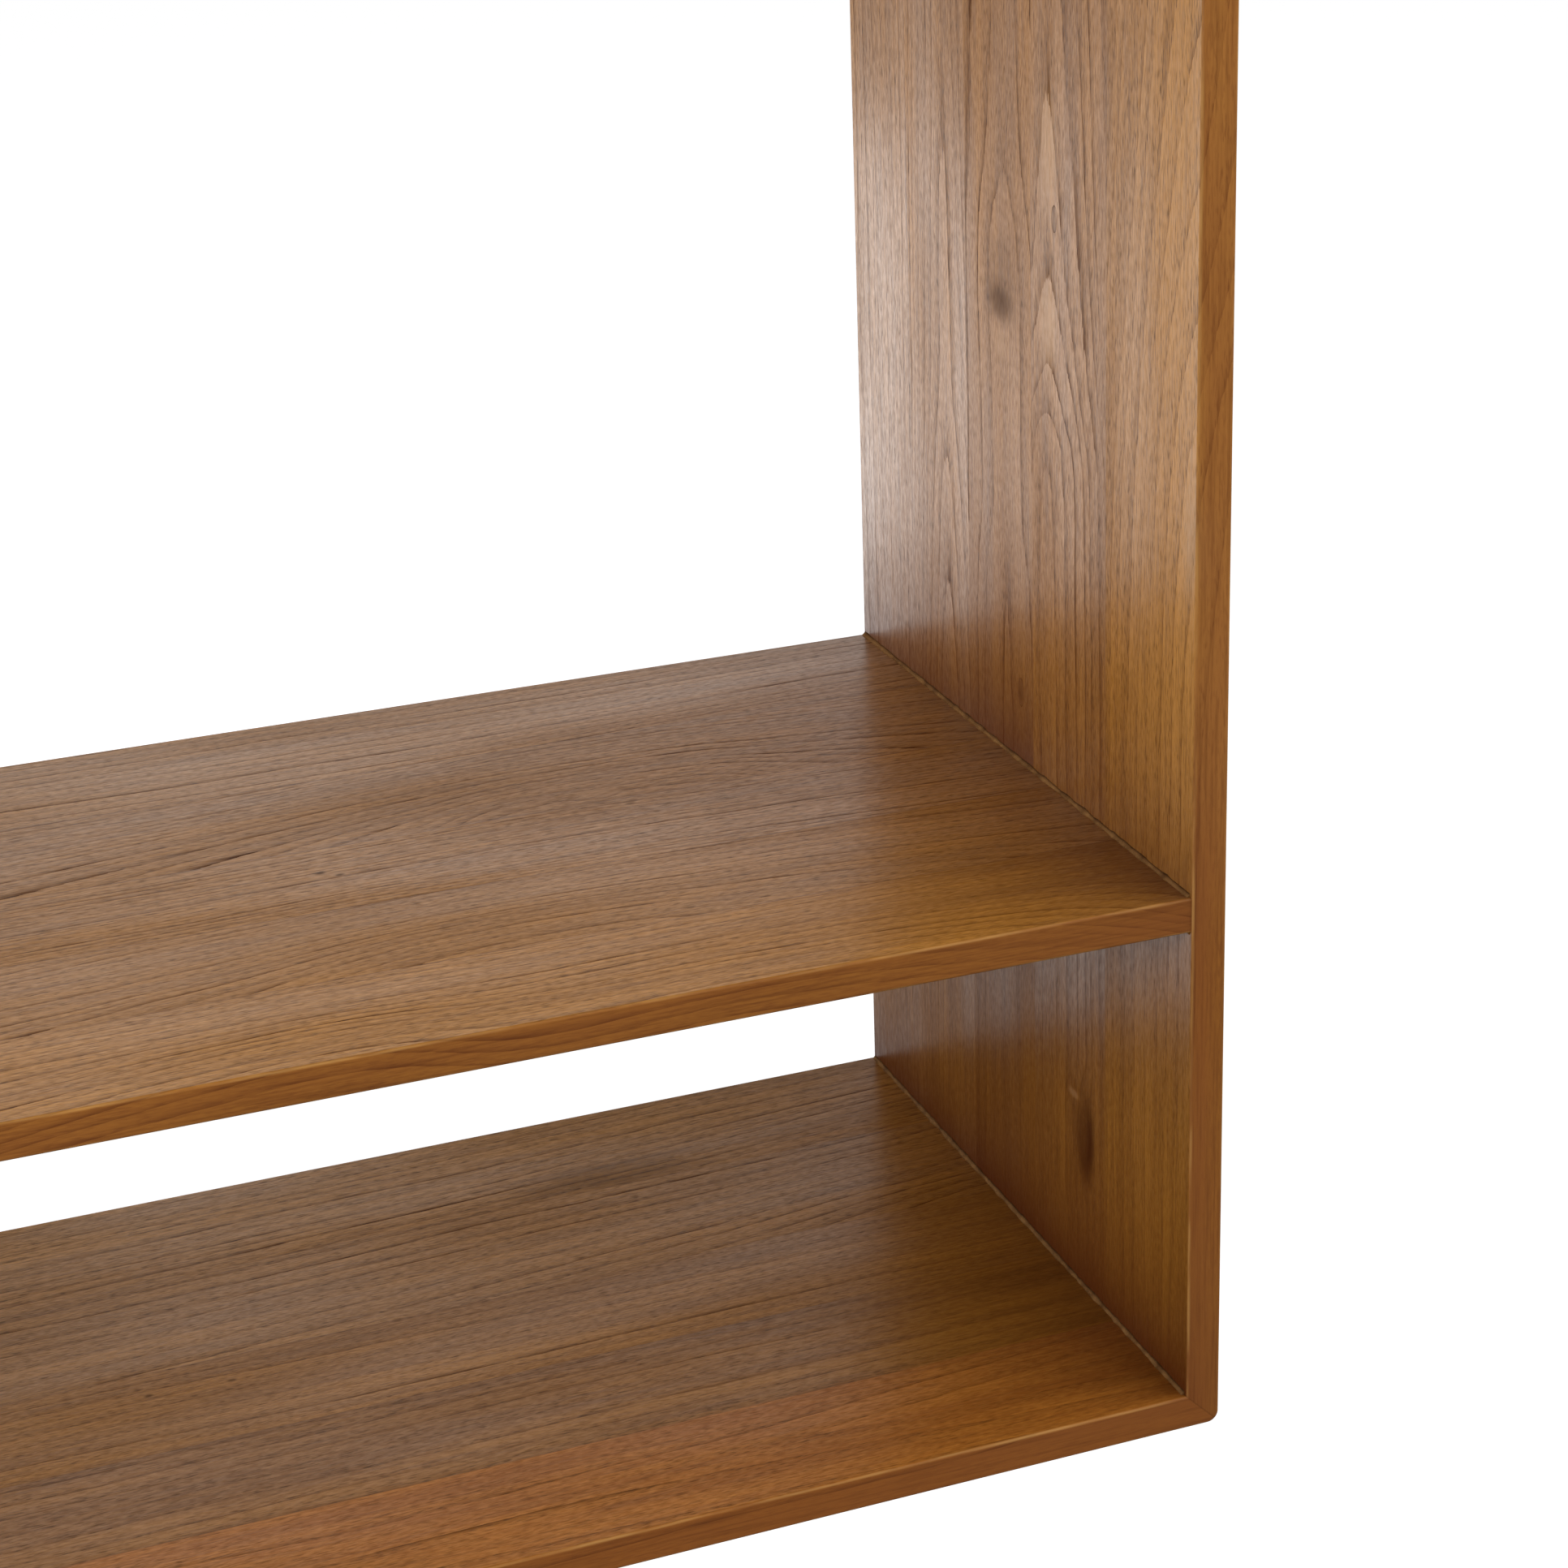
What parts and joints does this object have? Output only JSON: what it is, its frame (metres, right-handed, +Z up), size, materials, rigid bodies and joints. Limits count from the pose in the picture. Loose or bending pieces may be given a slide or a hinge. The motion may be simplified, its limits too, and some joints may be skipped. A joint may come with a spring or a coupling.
{
  "type": "wall shelf",
  "caption": "Open-backed wall shelf in edge-glued teak with mitred, rounded corners and a fixed shelf that divides it into a low and a tall compartment.",
  "frame": {"origin": "on the wall plane, midway between the round entries of the two keyholes it hangs from", "axes": "+X to the right as seen from the front, +Y into the wall, +Z up"},
  "size_m": [0.8, 0.35, 0.7],
  "materials": {
    "teak": "satin clear lacquer",
    "beech": "bare, planed",
    "zinc_plated_steel": "bright zinc plating"
  },
  "bodies": {
    "root": {"bottom_front_stave": "teak", "bottom_second_stave": "teak", "bottom_middle_stave": "teak", "bottom_fourth_stave": "teak", "bottom_rear_stave": "teak", "top_front_stave": "teak", "top_second_stave": "teak", "top_middle_stave": "teak", "top_fourth_stave": "teak", "top_rear_stave": "teak", "right_side_front_stave": "teak", "right_side_second_stave": "teak", "right_side_middle_stave": "teak", "right_side_fourth_stave": "teak", "right_side_rear_stave": "teak", "left_side_front_stave": "teak", "left_side_second_stave": "teak", "left_side_middle_stave": "teak", "left_side_fourth_stave": "teak", "left_side_rear_stave": "teak", "shelf_front_stave": "teak", "shelf_second_stave": "teak", "shelf_middle_stave": "teak", "shelf_fourth_stave": "teak", "shelf_rear_stave": "teak", "bottom_left_mitre_spline": "beech", "bottom_right_mitre_spline": "beech", "top_left_mitre_spline": "beech", "top_right_mitre_spline": "beech", "left_shelf_dowels": "beech", "right_shelf_dowels": "beech", "left_hanger_plate": "zinc_plated_steel", "right_hanger_plate": "zinc_plated_steel", "hanger_screws": "zinc_plated_steel"}
  },
  "joints": []
}
